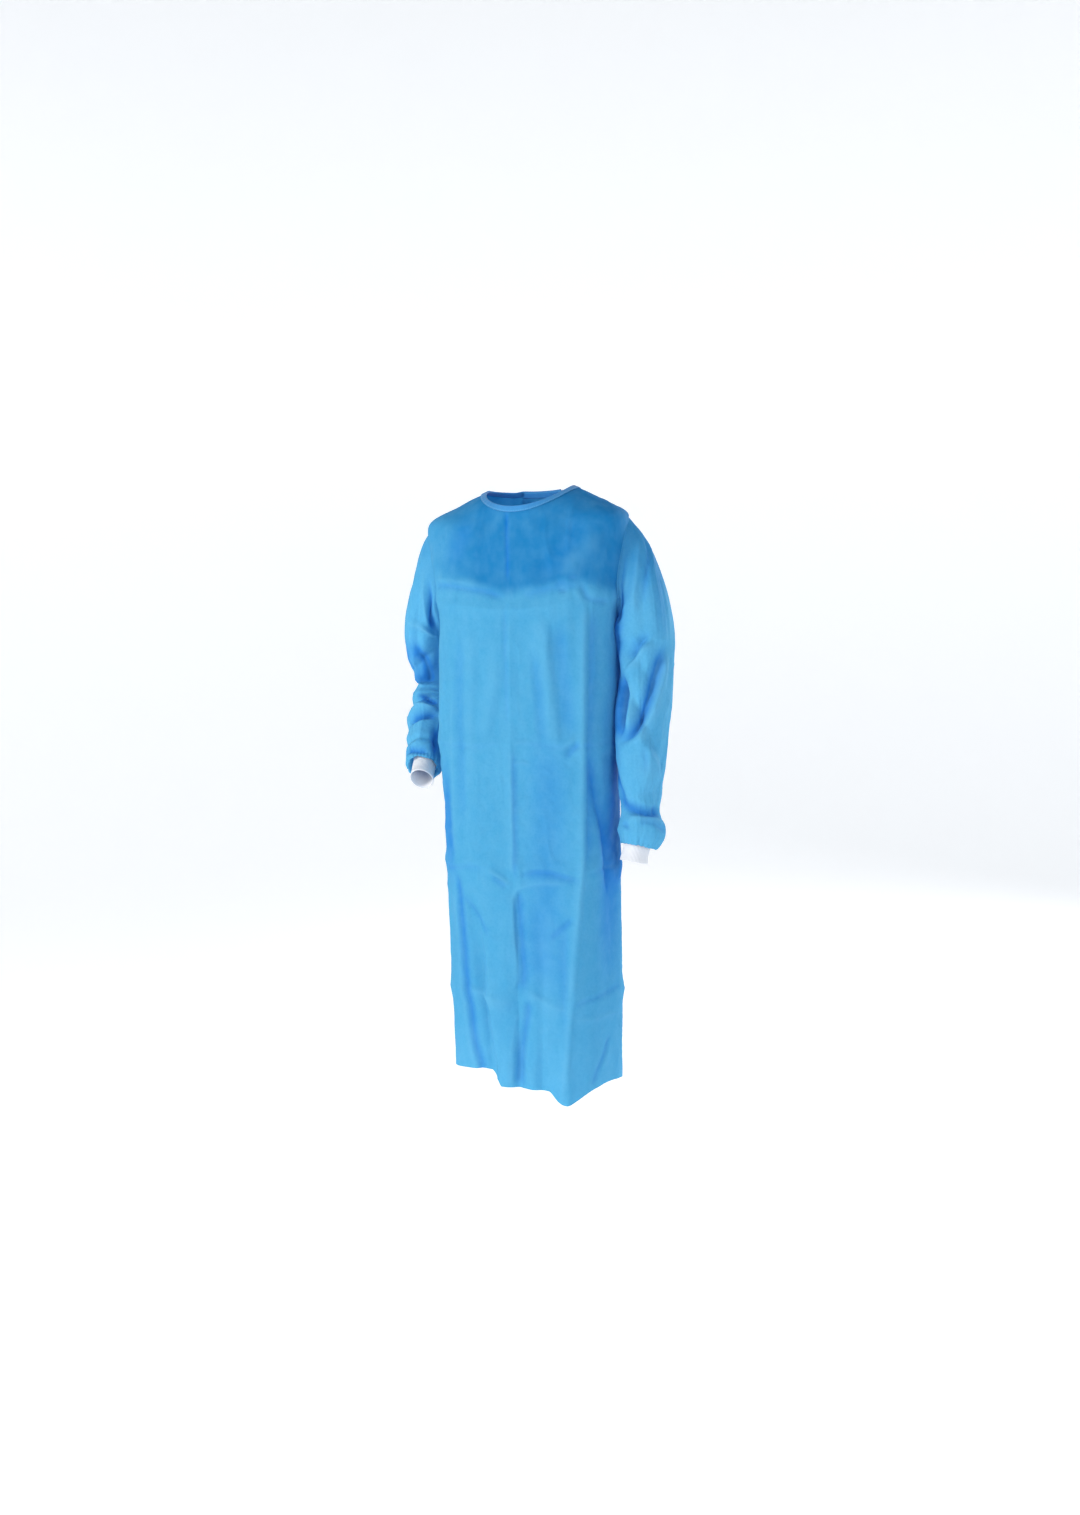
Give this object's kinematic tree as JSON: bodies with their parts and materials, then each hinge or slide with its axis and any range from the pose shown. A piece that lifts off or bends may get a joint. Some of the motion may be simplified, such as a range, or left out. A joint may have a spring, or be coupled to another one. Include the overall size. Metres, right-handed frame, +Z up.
{
  "type": "isolation gown",
  "caption": "Worn long-sleeved isolation gown with knit cuffs, bound round neck, lapped open back, hook tab and waist ties knotted behind",
  "frame": {"origin": "at the height of the shoulder seams' neck ends, midway between them, where the gown hangs on its wearer", "axes": "+Z up along the wearer, -Y towards the front of the gown, +X towards the wearer's left"},
  "size_m": [0.5573, 0.2692, 1.1405],
  "materials": {
    "cloth": "matte blue spunbond nonwoven with a fine bonded dot pattern",
    "knit": "white ribbed knit",
    "binding": "matte blue nonwoven strip folded over the neck edge",
    "fastener": "white hook and loop tape",
    "ties": "matte blue nonwoven strip, folded flat and sewn"
  },
  "bodies": {
    "root": {"front_panel": "cloth", "back_panel_left": "cloth", "back_panel_right": "cloth", "sleeve_left": "cloth", "sleeve_right": "cloth", "cuff_left": "knit", "cuff_right": "knit", "neck_binding": "binding", "neck_tab": "fastener", "tab_patch": "fastener", "waist_tie_left": "ties", "waist_tie_right": "ties", "tie_knot": "ties", "tie_loop_left": "ties", "tie_loop_right": "ties", "tie_tail_left": "ties", "tie_tail_right": "ties"}
  },
  "joints": []
}
